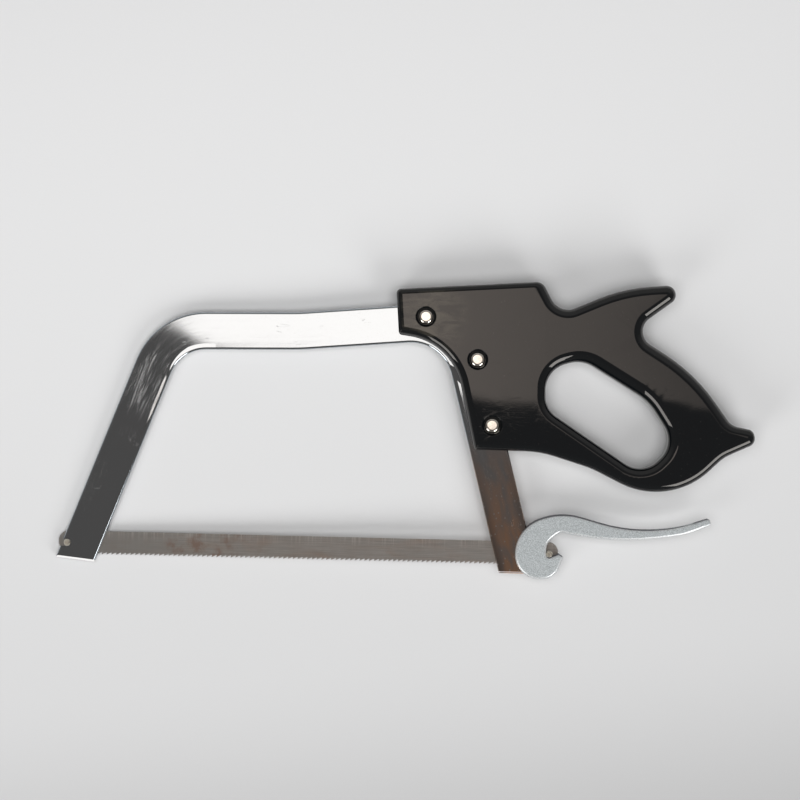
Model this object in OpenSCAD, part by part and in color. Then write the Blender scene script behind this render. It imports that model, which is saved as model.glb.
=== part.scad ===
// Butcher saw: a bowed flat bar, a narrow toothed blade on two cross pins,
// a cam lever that hooks the rear pin and tightens the blade, and a moulded
// two-part grip riveted to the bar.
// The saw lies on its side: the blade runs along X with its front end at -X,
// its teeth face -Y, and Z is square to the flat of the saw.

/* [Blade] */
// Distance between the centres of the two cross pins
pin_spacing = 320; // [305:1:335]
// Height of the blade from its back to the tooth tips
blade_h = 15.5; // [14:0.5:16.5]
// Thickness of the blade
blade_t = 0.7; // [0.5:0.1:0.9]
// Length of blade past each cross pin
blade_tail = 5.9; // [5:0.1:7]
// Radius of the four corners of the blade
blade_corner_r = 6.4; // [4:0.2:6.8]
// Distance from one tooth to the next, eight to the inch
tooth_pitch = 3.175; // [2.5:0.025:6]
// Depth of the teeth
tooth_depth = 1.6; // [1:0.1:2.2]
// Lean of the cutting face of a tooth, forward at its tip
tooth_rake = 0.35; // [0:0.05:0.8]
// Width of the flat in the root between two teeth
tooth_flat = 0.3; // [0.1:0.05:0.6]
// Diameter of the cross pins
pin_d = 4.4; // [4:0.1:5]
// Chamfer on the ends of the cross pins
pin_chamfer = 0.4; // [0.2:0.1:0.8]
// Length of the front cross pin
front_pin_len = 9; // [8:0.5:12]

/* [Bow] */
// Width of the flat bar, in the plane of the saw
bar_w = 25; // [23:0.5:26]
// Thickness of the flat bar
bar_t = 5; // [4:0.2:6]
// Rounding along the edges of the bar
bar_edge_r = 1.5; // [0.8:0.1:1.8]
// Radius of the corners at the two ends of the bar
bar_corner_r = 0.8; // [0.4:0.1:2]
// Radius on the inside of the two main bends
bend_in_r = 25; // [20:1:30]
// Lean of the front leg from upright
front_lean = 20.8; // [16:0.2:25]
// Lean of the rear leg from upright
rear_lean = 14.8; // [12:0.2:17]
// Height of the middle of the top bar above the pins, where it is set
arm_h = 144; // [138:1:150]
// Distance of the set in the top bar ahead of the rear pin
arm_set_x = 169; // [150:1:180]
// Slope of the top bar ahead of the set
arm_slope_front = 1.2; // [0:0.1:2.5]
// Slope of the top bar behind the set
arm_slope_rear = 5.2; // [4.6:0.1:5.8]
// Radius of the set in the top bar
arm_set_r = 150; // [100:10:200]
// Drop of the front leg below the pins
front_drop = 11.2; // [10.5:0.1:14]
// Slope of the cut across the end of the front leg
front_cut = 6; // [0:1:10]
// Drop of the rear leg below the pins
rear_drop = 13.6; // [12:0.1:15]
// Depth from the edge of the front leg to the centre of its pin
pin_inset = 3.7; // [3.2:0.1:5]
// Clearance round the front pin in its notch
notch_clear = 0.16; // [0.05:0.01:0.3]
// Distance from the rear pin to the edge of the rear leg
pin_reach = 10.5; // [10:0.1:11.5]
// Width of the slot for the blade in both legs
slot_w = 1.2; // [1:0.1:1.6]
// Length of that slot from the end of the leg
slot_len = 30; // [28:1:40]

/* [Grip] */
// Thickness of the whole grip
grip_t = 26; // [24:0.5:30]
// Rounding along the edges of the grip where the hand goes
grip_edge_r = 6.2; // [4:0.2:6.4]
// Thickness of the moulded walls
wall_t = 3; // [2.5:0.1:3.5]
// Thickness of the ribs inside
rib_t = 1.8; // [1.5:0.1:2.5]
// Clearance on each edge of the bar in its pocket
bar_clear = 0.2; // [0.1:0.05:0.4]
// Diameter of the locating pegs
peg_d = 5; // [4:0.2:6]
// Length of the locating pegs
peg_len = 4; // [3:0.5:6]
// Clearance round a locating peg
peg_clear = 0.1; // [0.05:0.05:0.3]

/* [Rivets] */
// Distance of the front rivet ahead of the rear corner of the bar
front_rivet_x = 21.1; // [19:0.1:24]
// Distance of the middle rivet below that corner
middle_rivet_x = 28.4; // [27:0.1:31]
// Distance of the lower rivet below that corner
lower_rivet_x = 73; // [70:0.5:76]
// Distances of the three rivets outward from the middle of the bar
rivet_out = [3.6, 6.4, 5.6];
// Diameter of the domed rivet heads
rivet_head_d = 10; // [9:0.2:11]
// Height of the domed rivet heads
rivet_head_h = 2.2; // [1.6:0.1:2.4]
// Diameter of the recess round a rivet head
recess_d = 13.3; // [12.4:0.1:14]
// Depth of that recess
recess_h = 2.4; // [2:0.1:3]
// Diameter of the rivet barrel
barrel_d = 6; // [5.4:0.2:6.4]
// Diameter of the rivet pin inside the barrel
rivet_pin_d = 3.6; // [3:0.2:4]
// Clearance round the rivet barrel
rivet_clear = 0.15; // [0.1:0.05:0.3]

/* [Lever] */
// Thickness of the lever at its head
lever_t = 10; // [9.4:0.2:12]
// Thickness of the lever at the tip of its tail
lever_tip_t = 6; // [4:0.5:8]
// Chamfer along the edges of the lever
lever_chamfer = 0.9; // [0.4:0.1:1.2]
// Clearance between the lever and each side of the rear leg
cheek_clear = 0.25; // [0.15:0.05:0.35]
// Clearance between the cam of the lever and the rear leg
cam_clear = 0.12; // [0.1:0.02:0.3]
// Clearance round the rear pin in the hook
hook_clear = 0.08; // [0.05:0.01:0.2]
// Clearance beside the blade in the head of the lever
blade_clear = 0.3; // [0.2:0.05:0.5]
// Angle that the lever swings from closed to open
swing = 95; // [80:1:100]
// Travel of the blade for each degree of swing
slack_per_deg = 0.038; // [0.03:0.001:0.042]

/* [Hidden] */
$fn = 48;

// Least radius of any corner, and how finely the corners are drawn
least_r = 0.2;
arc_step = 15;
chord_max = 8;
// How far a cut runs past the face that it opens, beside it and in all
past = 1;
lead = 0.12;
through = 90;
far = 100;

// Outline of the grip, as corners with their rounding: [x, y, radius, share],
// anticlockwise from the upper front corner, measured from the rear corner
// of the middle line of the bar. The share is how much of the full rounding
// the moulded edge has along the side that follows: most where the hand goes.
grip_corners = [
    [-41.3, 19.7, 3, 0.64], [-39, -10.1, 2.5, 0.84], [-3.3, -14.9, 41, 0.84],
    [14.8, -85.5, 2, 0.84], [56.4, -85.8, 70, 0.87], [90.4, -95.9, 60, 0.9],
    [142.4, -121.2, 52, 0.9], [178.1, -86.6, 25, 0.84], [199, -76.8, 5.6, 0.8],
    [197.1, -68.1, 5.2, 0.84], [182.8, -65.5, 11, 1.1], [157.6, -31.3, 120, 1.14],
    [114.6, -5, 10.3, 1], [158.4, 28, 6.2, 1], [109.2, 23.9, 110, 1],
    [67, 5.4, 12, 1.04], [55.4, 26.8, 7, 0.64]
];
// Outline of the finger opening, measured from the same corner
finger_corners = [
    [59.1, -57.3, 16, 0.9], [124.4, -100, 17, 0.9], [145.8, -78.3, 17, 1],
    [127.6, -50.8, 38, 1.04], [83, -24.2, 20, 1.02], [59.1, -31, 18, 0.88]
];
// Places of the three locating pegs, measured from there too
peg_places = [[130.4, 18], [163.4, -54.5], [82.4, 0.5]];
// Stiffening ribs of the grip: [x, y, direction], and how far each may reach
rib_places = [[46.4, -3.5, 62], [82.4, -11.5, 90], [116.4, -24.5, 55], [150.4, -40.5, 40],
    [164.4, -73.5, -10], [148.4, -99.5, -60], [114.4, -99.5, 78], [76.4, -81.5, 68],
    [48.4, -63.5, 20], [48.4, -37.5, -8]];
rib_reach = 50;

// Outline of the lever, measured from the rear pin
lever_corners = [
    [-22.7, -16.7, 16], [3.8, -16.7, 12], [9.4, -1.6, 1.2], [6.3, 0.4, 1], [-2, -3, 1.9],
    [-2, 7.6, 9], [6.7, 14.8, 5], [45.4, 8.05, 180], [89.4, 14.7, 60], [107.3, 21.9, 1.6],
    [105.6, 26.3, 2], [65.6, 12.9, 108], [7.7, 28.3, 42], [-22.7, 17.6, 25.4]
];
// Where the tail of the lever starts to thin, and where it ends
tail_start_x = 14;
tail_end_x = 107;

function xy(v) = [v.x, v.y];
function along(a) = [cos(a), sin(a)];
function left_of(u) = [-u.y, u.x];
function unit(v) = v / norm(v);
function angle_to(a, b) = atan2(a.x * b.y - a.y * b.x, a * b);
function meet(p, u, q, w) = p + u * ((q - p) * left_of(w)) / (u * left_of(w));
function reversed(v) = [for (i = [len(v) - 1 : -1 : 0]) v[i]];
function moved(vs, p) = [for (v = vs) concat([v.x + p.x, v.y + p.y], rest(v))];
function rest(v) = [for (i = [2 : len(v) - 1]) v[i]];

// A closed outline with rounded corners, drawn inward by d
function rounded(vs, d = 0) = [for (i = [0 : len(vs) - 1]) for (p = corner_arc(vs, i, d, d)) p];

// The arc of corner i, where the side before it is drawn inward by d1 and the
// side after it by d2
function corner_arc(vs, i, d1, d2) =
    let (n = len(vs),
        v = xy(vs[i]),
        n1 = left_of(unit(v - xy(vs[(i + n - 1) % n]))),
        n2 = left_of(unit(xy(vs[(i + 1) % n]) - v)),
        turn = angle_to(n1, n2),
        s = sign(turn),
        r = max(vs[i].z - s * (d1 + d2) / 2, least_r),
        c = meet(v + n1 * (d1 + s * r), left_of(n1), v + n2 * (d2 + s * r), left_of(n2)),
        arc = vs[i].z * abs(turn) * PI / 180,
        m = max(1, ceil(abs(turn) / arc_step), ceil(arc / chord_max)))
    [for (k = [0 : m]) c - s * r * along(atan2(n1.y, n1.x) + turn * k / m)];

// The blade and its pins
front_pin = [-pin_spacing, 0];
rear_pin = [0, 0];
blade_back_y = blade_h / 2;
blade_root_y = tooth_depth - blade_h / 2;
blade_end_r = min(blade_corner_r, (blade_back_y - blade_root_y) / 2 - least_r);

// The middle line of the bar
mid_bend_r = bend_in_r + bar_w / 2;
front_up = along(90 - front_lean);
rear_up = along(90 + rear_lean);
front_mid = front_pin - left_of(front_up) * (bar_w / 2 - pin_inset);
rear_mid = rear_pin + left_of(rear_up) * (bar_w / 2 + pin_reach);
arm_set = [-arm_set_x, arm_h];
arm_back = -along(arm_slope_rear);
front_bend = meet(front_mid, front_up, arm_set, along(arm_slope_front));
rear_bend = meet(rear_mid, rear_up, arm_set, arm_back);
front_end = meet(front_mid, front_up, [0, -front_drop], [1, 0]);
rear_end = meet(rear_mid, rear_up, [0, -rear_drop], [1, 0]);
bar_path = [front_end, front_bend, arm_set, rear_bend, rear_end];

// One side of the bar, w to the left of its middle line, with each bend's radius
function bar_side(w) = concat(
    [bar_end(front_end, front_up, -front_cut, w)],
    [for (i = [1 : 3])
        let (p = bar_path[i],
            n1 = left_of(unit(p - bar_path[i - 1])),
            n2 = left_of(unit(bar_path[i + 1] - p)),
            q = p + (n1 + n2) * w / (1 + n1 * n2))
        [q.x, q.y, i == 2 ? arm_set_r - w : mid_bend_r + w]],
    [bar_end(rear_end, -rear_up, 0, w)]
);
function bar_end(p, u, slope, w) =
    let (q = meet(p + left_of(u) * w, u, p, along(slope)))
    [q.x, q.y, bar_corner_r];
function bar_corners(w) = concat(bar_side(-w / 2), reversed(bar_side(w / 2)));

// The grip and its rivets, which go where the bar's rear corner goes
grip = moved(grip_corners, rear_bend);
fingers = moved(finger_corners, rear_bend);
peg_at = [for (p = peg_places) p + rear_bend];
rib_at = moved(rib_places, rear_bend);
rivet_at = [
    rear_bend + arm_back * front_rivet_x - left_of(arm_back) * rivet_out[0],
    rear_bend - rear_up * middle_rivet_x - left_of(rear_up) * rivet_out[1],
    rear_bend - rear_up * lower_rivet_x - left_of(rear_up) * rivet_out[2]
];
rivet_hole_d = barrel_d + 2 * rivet_clear;
rivet_floor = grip_t / 2 - recess_h;

// The cam: its distance from the pin falls by a fixed amount for each degree
hook_r = pin_d / 2 + hook_clear;
cam_from = 180 + rear_lean;
cam_r0 = pin_reach - cam_clear;
cam_fall = slack_per_deg * cos(rear_lean);
cam_rate = cam_fall * 180 / PI;
cam_step = 5;
cam_line = [for (a = [0 : cam_step : swing])
    (cam_r0 - cam_fall * a) * along(cam_from + a) - cam_rate * left_of(along(cam_from + a))];

// The middle of the whole saw, which is the origin of every piece
grip_line = rounded(grip);
bar_line = rounded(bar_corners(bar_w));
low_x = min(front_pin.x - blade_tail, min([for (p = bar_line) p.x]));
high_x = max([for (p = grip_line) p.x]);
low_y = min([for (p = rounded(lever_corners)) p.y]);
high_y = max([for (p = grip_line) p.y]);

module place() {
    translate([-(low_x + high_x) / 2, -(low_y + high_y) / 2, grip_t / 2])
        children();
}

module at(p, z = 0) {
    translate([p.x, p.y, z])
        children();
}

module both_faces() {
    for (k = [0, 1])
        mirror([0, 0, k])
            children();
}

// A flat plate of the given outline, centred on the middle plane
module plate(points, t) {
    linear_extrude(height = t, center = true)
        polygon(points);
}

// Section of the waste along a rounded edge: [inward, up] from the sharp edge
function edge_waste(r, steps) = concat(
    [[-past, -r - past], [-lead, -r - past / 2]],
    [for (k = [1 : steps - 1]) [r * (1 - cos(90 * k / steps)), -r * (1 - sin(90 * k / steps))]],
    [[r + past / 2, lead], [r + past / 2, past], [-past, past]]
);

// The rounding of the side that follows corner i
function side_r(vs, i, r) = let (v = vs[(i + len(vs)) % len(vs)]) len(v) > 3 ? v[3] * r : r;

// One ring of the waste: point j of the section taken along the whole outline
function waste_ring(vs, r, steps, side, top, j) = [
    for (i = [0 : len(vs) - 1])
        let (w1 = edge_waste(side_r(vs, i - 1, r), steps)[j],
            w2 = edge_waste(side_r(vs, i, r), steps)[j],
            arc = corner_arc(vs, i, side * w1.x, side * w2.x),
            m = len(arc) - 1)
        for (k = [0 : m])
            [arc[k].x, arc[k].y, top(arc[k]) + w1.y + (w2.y - w1.y) * k / m]
];

// The waste that leaves a rounded edge on a plate; side is 1 for an outer
// edge and -1 for the edge of an opening
module edge_cutter(corners, r, steps, side, top) {
    m = len(edge_waste(r, steps));
    rings = [for (j = [0 : m - 1]) waste_ring(corners, r, steps, side, top, j)];
    n = len(rings[0]);
    points = [for (ring = rings) for (p = ring) p];
    faces = [
        for (j = [0 : m - 1])
            for (i = [0 : n - 1])
                let (a = j * n + i, b = j * n + (i + 1) % n,
                    c = (j + 1) % m * n + (i + 1) % n, e = (j + 1) % m * n + i)
                for (f = side > 0 ? [[a, b, c], [a, c, e]] : [[a, c, b], [a, e, c]])
                    f
    ];
    polyhedron(points, faces);
}

module bow_frame() {
    color([0.42, 0.4, 0.4])
        place()
            difference() {
                plate(bar_line, bar_t);
                both_faces()
                    edge_cutter(bar_corners(bar_w), bar_edge_r, 3, 1, function(p) bar_t / 2);
                blade_slot(front_end, front_lean);
                blade_slot(rear_end, -rear_lean);
                front_notch();
                for (p = rivet_at)
                    at(p)
                        cylinder(d = rivet_hole_d, h = through, center = true);
            }
}

module blade_slot(p, lean) {
    at(p)
        rotate([0, 0, -lean])
            translate([-bar_w, -bar_w, -slot_w / 2])
                cube([2 * bar_w, bar_w + slot_len, slot_w]);
}

// The notch in the front edge that the front pin drops into
module front_notch() {
    notch_r = pin_d / 2 + notch_clear;
    at(front_pin) {
        cylinder(r = notch_r, h = through, center = true);
        translate([-bar_w, -notch_r, -bar_t])
            cube([bar_w, 2 * notch_r, 2 * bar_t]);
    }
}

// The hollow inside a shell: the grip less its walls, ribs and bosses
module shell_hollow() {
    hollow_h = grip_t / 2 - wall_t;
    difference() {
        translate([0, 0, -past])
            linear_extrude(height = hollow_h + past)
                polygon(rounded(grip, wall_t));
        plate(rounded(fingers, -wall_t), through);
        plate(rounded(bar_corners(bar_w + 2 * wall_t)), through);
        for (p = rivet_at)
            at(p)
                cylinder(d = recess_d + 2 * wall_t, h = through, center = true);
        for (p = peg_at)
            at(p)
                cylinder(d = peg_d + 2 * wall_t, h = through, center = true);
        for (r = rib_at)
            at(r)
                rotate([0, 0, r.z])
                    cube([rib_reach, rib_t, through], center = true);
    }
}

module shell_half() {
    difference() {
        linear_extrude(height = grip_t / 2)
            polygon(grip_line);
        plate(rounded(fingers), through);
        edge_cutter(grip, grip_edge_r, 4, 1, function(p) grip_t / 2);
        edge_cutter(fingers, grip_edge_r, 4, -1, function(p) grip_t / 2);
        plate(rounded(bar_corners(bar_w + 2 * bar_clear)), bar_t);
        shell_hollow();
        for (p = rivet_at)
            at(p) {
                cylinder(d = rivet_hole_d, h = through);
                translate([0, 0, rivet_floor])
                    cylinder(d = recess_d, h = through);
            }
    }
}

module handle_shell_top() {
    color([0.2, 0.19, 0.185])
        place()
            difference() {
                shell_half();
                for (p = peg_at)
                    at(p, -past)
                        cylinder(d = peg_d + 2 * peg_clear, h = peg_len + 2 * peg_clear + past);
            }
}

module handle_shell_bottom() {
    color([0.2, 0.19, 0.185])
        place() {
            mirror([0, 0, 1])
                shell_half();
            for (p = peg_at)
                at(p, -wall_t)
                    cylinder(d = peg_d, h = wall_t + peg_len);
        }
}

// A domed head that sits on the floor of its recess
module rivet_head() {
    dome_r = (pow(rivet_head_d / 2, 2) + pow(rivet_head_h, 2)) / (2 * rivet_head_h);
    intersection() {
        translate([0, 0, rivet_floor + rivet_head_h - dome_r])
            sphere(r = dome_r);
        translate([0, 0, rivet_floor])
            cylinder(d = 2 * rivet_head_d, h = rivet_head_h);
    }
}

// The upper half of a rivet: a domed head with a hollow barrel below it
module rivet_barrel(p) {
    color([0.72, 0.7, 0.68])
        place()
            at(p)
                difference() {
                    union() {
                        rivet_head();
                        translate([0, 0, wall_t - rivet_floor])
                            cylinder(d = barrel_d, h = 2 * rivet_floor - wall_t);
                    }
                    translate([0, 0, -through])
                        cylinder(d = rivet_pin_d, h = through + rivet_floor - wall_t);
                }
}

// The lower half: the same head with the pin that grips in the barrel
module rivet_pin(p) {
    color([0.72, 0.7, 0.68])
        place()
            at(p)
                mirror([0, 0, 1]) {
                    rivet_head();
                    translate([0, 0, 2 * wall_t - rivet_floor])
                        cylinder(d = rivet_pin_d, h = 2 * (rivet_floor - wall_t));
                }
}

// Teeth along the lower edge, each with its cutting face to the front
function tooth_line(x0, x1, y) = [
    for (i = [0 : floor((x1 - x0) / tooth_pitch) - 1])
        for (q = [[0, 0], [tooth_flat, 0], [tooth_flat - tooth_rake, -tooth_depth]])
            [x0 + i * tooth_pitch + q.x, y + q.y]
];

module teeth() {
    x0 = front_pin.x - blade_tail + blade_end_r + tooth_pitch;
    x1 = blade_tail - blade_end_r;
    plate(concat(tooth_line(x0, x1, blade_root_y), [[x1, blade_root_y],
        [x1, blade_root_y + past], [x0, blade_root_y + past]]), blade_t);
}

module saw_blade() {
    front_x = front_pin.x - blade_tail;
    body = rounded([[front_x, blade_root_y, blade_end_r], [blade_tail, blade_root_y, blade_end_r],
        [blade_tail, blade_back_y, blade_end_r], [front_x, blade_back_y, blade_end_r]]);
    color([0.5, 0.46, 0.43])
        place()
            difference() {
                union() {
                    plate(body, blade_t);
                    teeth();
                }
                for (p = [front_pin, rear_pin])
                    at(p)
                        cylinder(d = pin_d, h = through, center = true);
            }
}

// A cross pin with chamfered ends
module cross_pin(p, length) {
    color([0.6, 0.58, 0.56])
        place()
            at(p) {
                cylinder(d = pin_d, h = length - 2 * pin_chamfer, center = true);
                both_faces()
                    translate([0, 0, length / 2 - pin_chamfer])
                        cylinder(d1 = pin_d, d2 = pin_d - 2 * pin_chamfer, h = pin_chamfer);
            }
}

module front_blade_pin() {
    cross_pin(front_pin, front_pin_len);
}

module rear_blade_pin() {
    cross_pin(rear_pin, lever_t);
}

// Room between the cheeks for the leg, at every angle of the lever
module leg_room() {
    first = along(cam_from);
    last = along(cam_from + swing);
    start = cam_line[0];
    end = cam_line[len(cam_line) - 1];
    plate(concat(cam_line, [
        end + left_of(last) * far,
        end + (last + left_of(last)) * far,
        2 * far * along(cam_from + swing / 2),
        start + (first - left_of(first)) * far,
        start - left_of(first) * far
    ]), bar_t + 2 * cheek_clear);
}

// Room for the blade and its rounded end, at every angle of the lever
module blade_room() {
    half = blade_h / 2 + blade_clear;
    for (a = [0, swing / 2, swing])
        rotate([0, 0, a])
            translate([-far, -half, -slot_w / 2])
                cube([far, 2 * half, slot_w]);
    plate(concat([rear_pin], [for (a = [180 : swing / 4 : 180 + swing]) far * along(a)]), slot_w);
    cylinder(r = norm([blade_tail, half]) + blade_clear, h = slot_w, center = true);
}

function lever_half_t(x) = (lever_t - (lever_t - lever_tip_t)
    * max(0, min(1, (x - tail_start_x) / (tail_end_x - tail_start_x)))) / 2;

// What is cut away above and below the thinning tail
module tail_waste() {
    both_faces()
        rotate([90, 0, 0])
            linear_extrude(height = far, center = true)
                polygon([[tail_start_x, lever_t / 2], [tail_end_x + past, lever_tip_t / 2],
                    [tail_end_x + past, lever_t], [tail_start_x, lever_t]]);
}

module tension_lever() {
    color([0.62, 0.63, 0.63])
        place()
            difference() {
                plate(rounded(lever_corners), lever_t);
                tail_waste();
                both_faces()
                    edge_cutter(lever_corners, lever_chamfer, 2, 1, function(p) lever_half_t(p.x));
                leg_room();
                blade_room();
                cylinder(r = hook_r, h = through, center = true);
            }
}

bow_frame();
handle_shell_top();
handle_shell_bottom();
rivet_barrel(rivet_at[0]);  // front_rivet_barrel
rivet_pin(rivet_at[0]);  // front_rivet_pin
rivet_barrel(rivet_at[1]);  // middle_rivet_barrel
rivet_pin(rivet_at[1]);  // middle_rivet_pin
rivet_barrel(rivet_at[2]);  // lower_rivet_barrel
rivet_pin(rivet_at[2]);  // lower_rivet_pin
saw_blade();
front_blade_pin();
rear_blade_pin();
tension_lever();
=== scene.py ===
import cmath
import math

import bmesh
import bpy
from mathutils import Matrix, Vector


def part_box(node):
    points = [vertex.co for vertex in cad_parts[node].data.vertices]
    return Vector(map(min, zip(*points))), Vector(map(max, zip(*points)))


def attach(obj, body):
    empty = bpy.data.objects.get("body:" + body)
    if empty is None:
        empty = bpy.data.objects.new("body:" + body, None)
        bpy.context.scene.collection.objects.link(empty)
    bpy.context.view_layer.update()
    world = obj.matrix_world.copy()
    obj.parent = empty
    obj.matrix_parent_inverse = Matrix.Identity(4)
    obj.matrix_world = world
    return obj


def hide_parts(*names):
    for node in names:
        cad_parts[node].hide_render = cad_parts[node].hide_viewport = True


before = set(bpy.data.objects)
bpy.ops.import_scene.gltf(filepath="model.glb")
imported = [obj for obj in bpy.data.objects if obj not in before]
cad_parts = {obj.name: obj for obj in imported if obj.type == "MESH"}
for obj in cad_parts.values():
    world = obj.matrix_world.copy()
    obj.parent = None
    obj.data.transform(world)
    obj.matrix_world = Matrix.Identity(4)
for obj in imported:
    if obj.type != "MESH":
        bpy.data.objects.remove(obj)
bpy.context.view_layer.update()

mm = 0.001
print("frame loaded,", len(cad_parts), "parts")

# Everything is measured from the middle of the rear blade pin, in mm, as on a drawing:
# x along the blade towards the grip, y from the teeth to the top bar, z square to the flat.


def middle(node):
    low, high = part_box(node)
    return (low + high) / 2


def size(node):
    low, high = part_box(node)
    return (high - low) / mm


rearPin = middle("rear_blade_pin")
pinGap = (rearPin.x - middle("front_blade_pin").x) / mm
frontPinX = -pinGap


# Outlines

cornerLeast = 0.2   # no corner is sharper than this, mm
turnStep = 4        # degrees between points on a rounded corner
tiny = 1e-6


def heading(degrees):
    return cmath.exp(1j * math.radians(degrees))


def unit(v):
    return v / abs(v)


def dotOf(a, b):
    return (a * b.conjugate()).real


def crossing(p, u, q, w):
    side = 1j * w
    return p + u * dotOf(q - p, side) / dotOf(u, side)


def cornerArc(corners, i, insetBefore=0.0, insetAfter=0.0, step=turnStep):
    # corners are (x, y, radius); the sides before and after corner i are drawn inset mm inside
    here = complex(*corners[i][:2])
    before = 1j * unit(here - complex(*corners[i - 1][:2]))
    after = 1j * unit(complex(*corners[(i + 1) % len(corners)][:2]) - here)
    turn = cmath.phase(after / before)
    sign = 1 if turn >= 0 else -1
    r = max(corners[i][2] - sign * (insetBefore + insetAfter) / 2, cornerLeast)
    centre = crossing(here + before * (insetBefore + sign * r), 1j * before,
                      here + after * (insetAfter + sign * r), 1j * after)
    parts = max(1, math.ceil(abs(math.degrees(turn)) / step))
    return [centre - sign * r * before * cmath.exp(1j * turn * k / parts) for k in range(parts + 1)]


def roundOff(corners, step=turnStep):
    return [p for i in range(len(corners)) for p in cornerArc(corners, i, step=step)]


def put(p, z):
    return Vector((rearPin.x + p.real * mm, rearPin.y + p.imag * mm, rearPin.z + z * mm))


def roundedEdge(radius, steps=10):
    # how far in and how far below the face, from the side up to the face
    turns = [math.pi / 2 * k / steps for k in range(steps + 1)]
    return [(radius * (1 - math.cos(a)), radius * (1 - math.sin(a))) for a in turns]


def edgeRing(corners, side, edge, k):
    # point k of the rounded edge along the whole outline, as (point, height); a corner may have
    # a fourth value, which is how much of the rounding the side that follows it has
    ring = []
    for i in range(len(corners)):
        shares = [c[3] if len(c) > 3 else 1.0 for c in (corners[i - 1], corners[i])]
        (inA, highA), (inB, highB) = [edge(share)[k] for share in shares]
        arc = cornerArc(corners, i, side * inA, side * inB)
        for j, p in enumerate(arc):
            ring.append((p, highA + (highB - highA) * j / (len(arc) - 1)))
    return ring


# Meshes


def meshObject(name, bm):
    bmesh.ops.recalc_face_normals(bm, faces=bm.faces)
    mesh = bpy.data.meshes.new(name)
    bm.to_mesh(mesh)
    bm.free()
    made = bpy.data.objects.new(name, mesh)
    bpy.context.scene.collection.objects.link(made)
    return made


def joinRings(bm, lower, upper):
    for i in range(len(lower)):
        j = (i + 1) % len(lower)
        bm.faces.new((lower[i], lower[j], upper[j], upper[i]))


def ringEdges(bm, ring):
    return [bm.edges.get((a, b)) for a, b in zip(ring, ring[1:] + ring[:1])]


def fillFace(bm, edges):
    bmesh.ops.triangle_fill(bm, use_beauty=True, use_dissolve=False, edges=edges)


def loftPlate(name, outlines, section):
    # each outline is (corners, 1 for the outside or -1 for an opening); the section gives, for
    # a share of the rounding, a list of (inset, z) from the lower face to the upper one
    bm = bmesh.new()
    lowerEdges, upperEdges = [], []
    for corners, side in outlines:
        rings = []
        for k in range(len(section(1.0))):
            rings.append([bm.verts.new(put(p, z)) for p, z in edgeRing(corners, side, section, k)])
        for below, above in zip(rings, rings[1:]):
            joinRings(bm, below, above)
        lowerEdges += ringEdges(bm, rings[0])
        upperEdges += ringEdges(bm, rings[-1])
    for edges in (lowerEdges, upperEdges):
        fillFace(bm, edges)
    return meshObject(name, bm)


def prism(name, points, low, high):
    bm = bmesh.new()
    lower = [bm.verts.new(put(p, low)) for p in points]
    upper = [bm.verts.new(put(p, high)) for p in points]
    bm.faces.new(lower)
    bm.faces.new(upper)
    joinRings(bm, lower, upper)
    return meshObject(name, bm)


def turned(name, centre, profile, parts=64):
    # the profile is (radius, z) from one end of the axis to the other
    bm = bmesh.new()
    rings = []
    for radius, z in profile:
        if radius == 0:
            rings.append([bm.verts.new(put(centre, z))])
        else:
            rings.append([bm.verts.new(put(centre + radius * heading(360 * k / parts), z))
                          for k in range(parts)])
    for a, b in zip(rings, rings[1:]):
        for k in range(parts):
            n = (k + 1) % parts
            corners = [a[k % len(a)], a[n % len(a)], b[n % len(b)], b[k % len(b)]]
            bm.faces.new(list(dict.fromkeys(corners)))
    return meshObject(name, bm)


def settle(piece):
    # the modifiers become the mesh
    graph = bpy.context.evaluated_depsgraph_get()
    mesh = bpy.data.meshes.new_from_object(piece.evaluated_get(graph), depsgraph=graph)
    piece.modifiers.clear()
    piece.data = mesh
    return piece


def cutAway(piece, tools):
    for tool in tools:
        step = piece.modifiers.new("cut", "BOOLEAN")
        step.operation = "DIFFERENCE"
        step.solver = "EXACT"
        step.object = tool
        settle(piece)
        bpy.data.objects.remove(tool)
    return piece


def smoothOver(piece, sharpFrom=35):
    mesh = piece.data
    mesh.shade_smooth()
    mesh.set_sharp_from_angle(angle=math.radians(sharpFrom))
    step = piece.modifiers.new("shade", "WEIGHTED_NORMAL")
    step.keep_sharp = True
    step.weight = 100
    return settle(piece)


def markRim(piece, flattest=0.5, steepest=0.95):
    # faces that lean, such as a bevel, get the value 1
    mesh = piece.data
    rim = mesh.attributes.new("rim", "FLOAT", "FACE")
    for face in mesh.polygons:
        rim.data[face.index].value = float(flattest < abs(face.normal.z) < steepest)


def dress(piece, body, material, slot, *nodes):
    piece.data.materials.clear()
    piece.data.materials.append(material)
    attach(piece, body)
    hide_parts(*nodes)


# Shader tools


def plug(tree, value, socket):
    if isinstance(value, bpy.types.NodeSocket):
        tree.links.new(value, socket)
    else:
        socket.default_value = value


def addNode(tree, kind, inputs=None, **settings):
    made = tree.nodes.new(kind)
    for key, value in settings.items():
        setattr(made, key, value)
    for key, value in (inputs or {}).items():
        plug(tree, value, made.inputs[key])
    return made


def calc(tree, operation, *values):
    return addNode(tree, "ShaderNodeMath", dict(enumerate(values)), operation=operation).outputs[0]


def times(tree, a, b):
    return calc(tree, "MULTIPLY", a, b)


def vectorCalc(tree, operation, *values):
    made = addNode(tree, "ShaderNodeVectorMath", dict(enumerate(values)), operation=operation)
    return made.outputs


def axesOf(tree, vector):
    return addNode(tree, "ShaderNodeSeparateXYZ", {"Vector": vector}).outputs


def markOf(tree, name, output):
    return addNode(tree, "ShaderNodeAttribute", attribute_name=name).outputs[output]


def remap(tree, value, low, high, newLow=0.0, newHigh=1.0):
    made = addNode(tree, "ShaderNodeMapRange", {"Value": value, "From Min": low, "From Max": high,
                                                "To Min": newLow, "To Max": newHigh})
    return made.outputs["Result"]


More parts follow.
